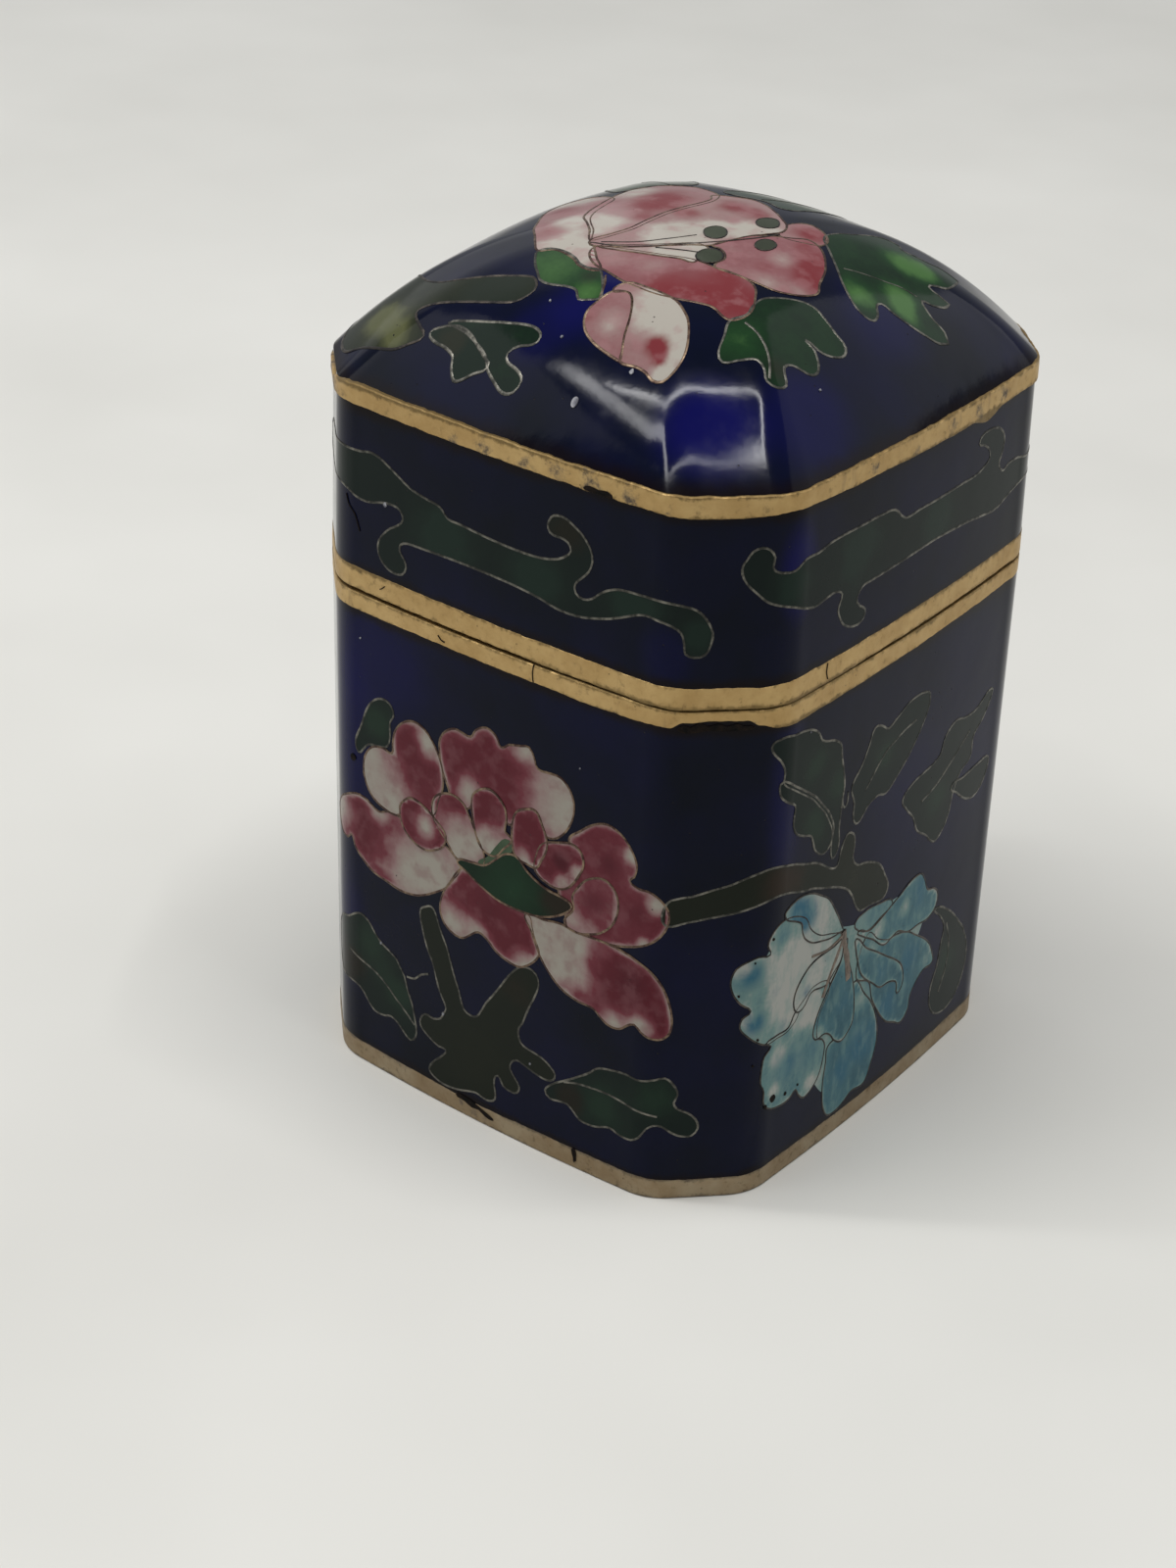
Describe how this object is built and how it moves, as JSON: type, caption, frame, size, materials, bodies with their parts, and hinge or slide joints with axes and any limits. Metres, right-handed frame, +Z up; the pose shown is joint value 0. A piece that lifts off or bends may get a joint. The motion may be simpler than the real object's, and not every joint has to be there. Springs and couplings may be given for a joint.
{
  "type": "lidded cloisonne jar",
  "caption": "Small squarish enamelled jar with cut corners, brass edging and a domed lift-off lid, for display or for keeping small things.",
  "frame": {"origin": "on the surface the jar stands on, under the middle of its plan", "axes": "+Z up, -Y towards the front face with the peony, +X towards the right face with the chrysanthemum"},
  "size_m": [0.047, 0.049, 0.0743],
  "materials": {
    "cobalt_enamel": "gloss",
    "gilt_brass": "satin, worn"
  },
  "bodies": {
    "root": {"jar_body": "cobalt_enamel", "lid_shell": "cobalt_enamel", "foot_strip": "gilt_brass", "mouth_strip": "gilt_brass", "lid_strip": "gilt_brass", "shoulder_strip": "gilt_brass"}
  },
  "joints": []
}
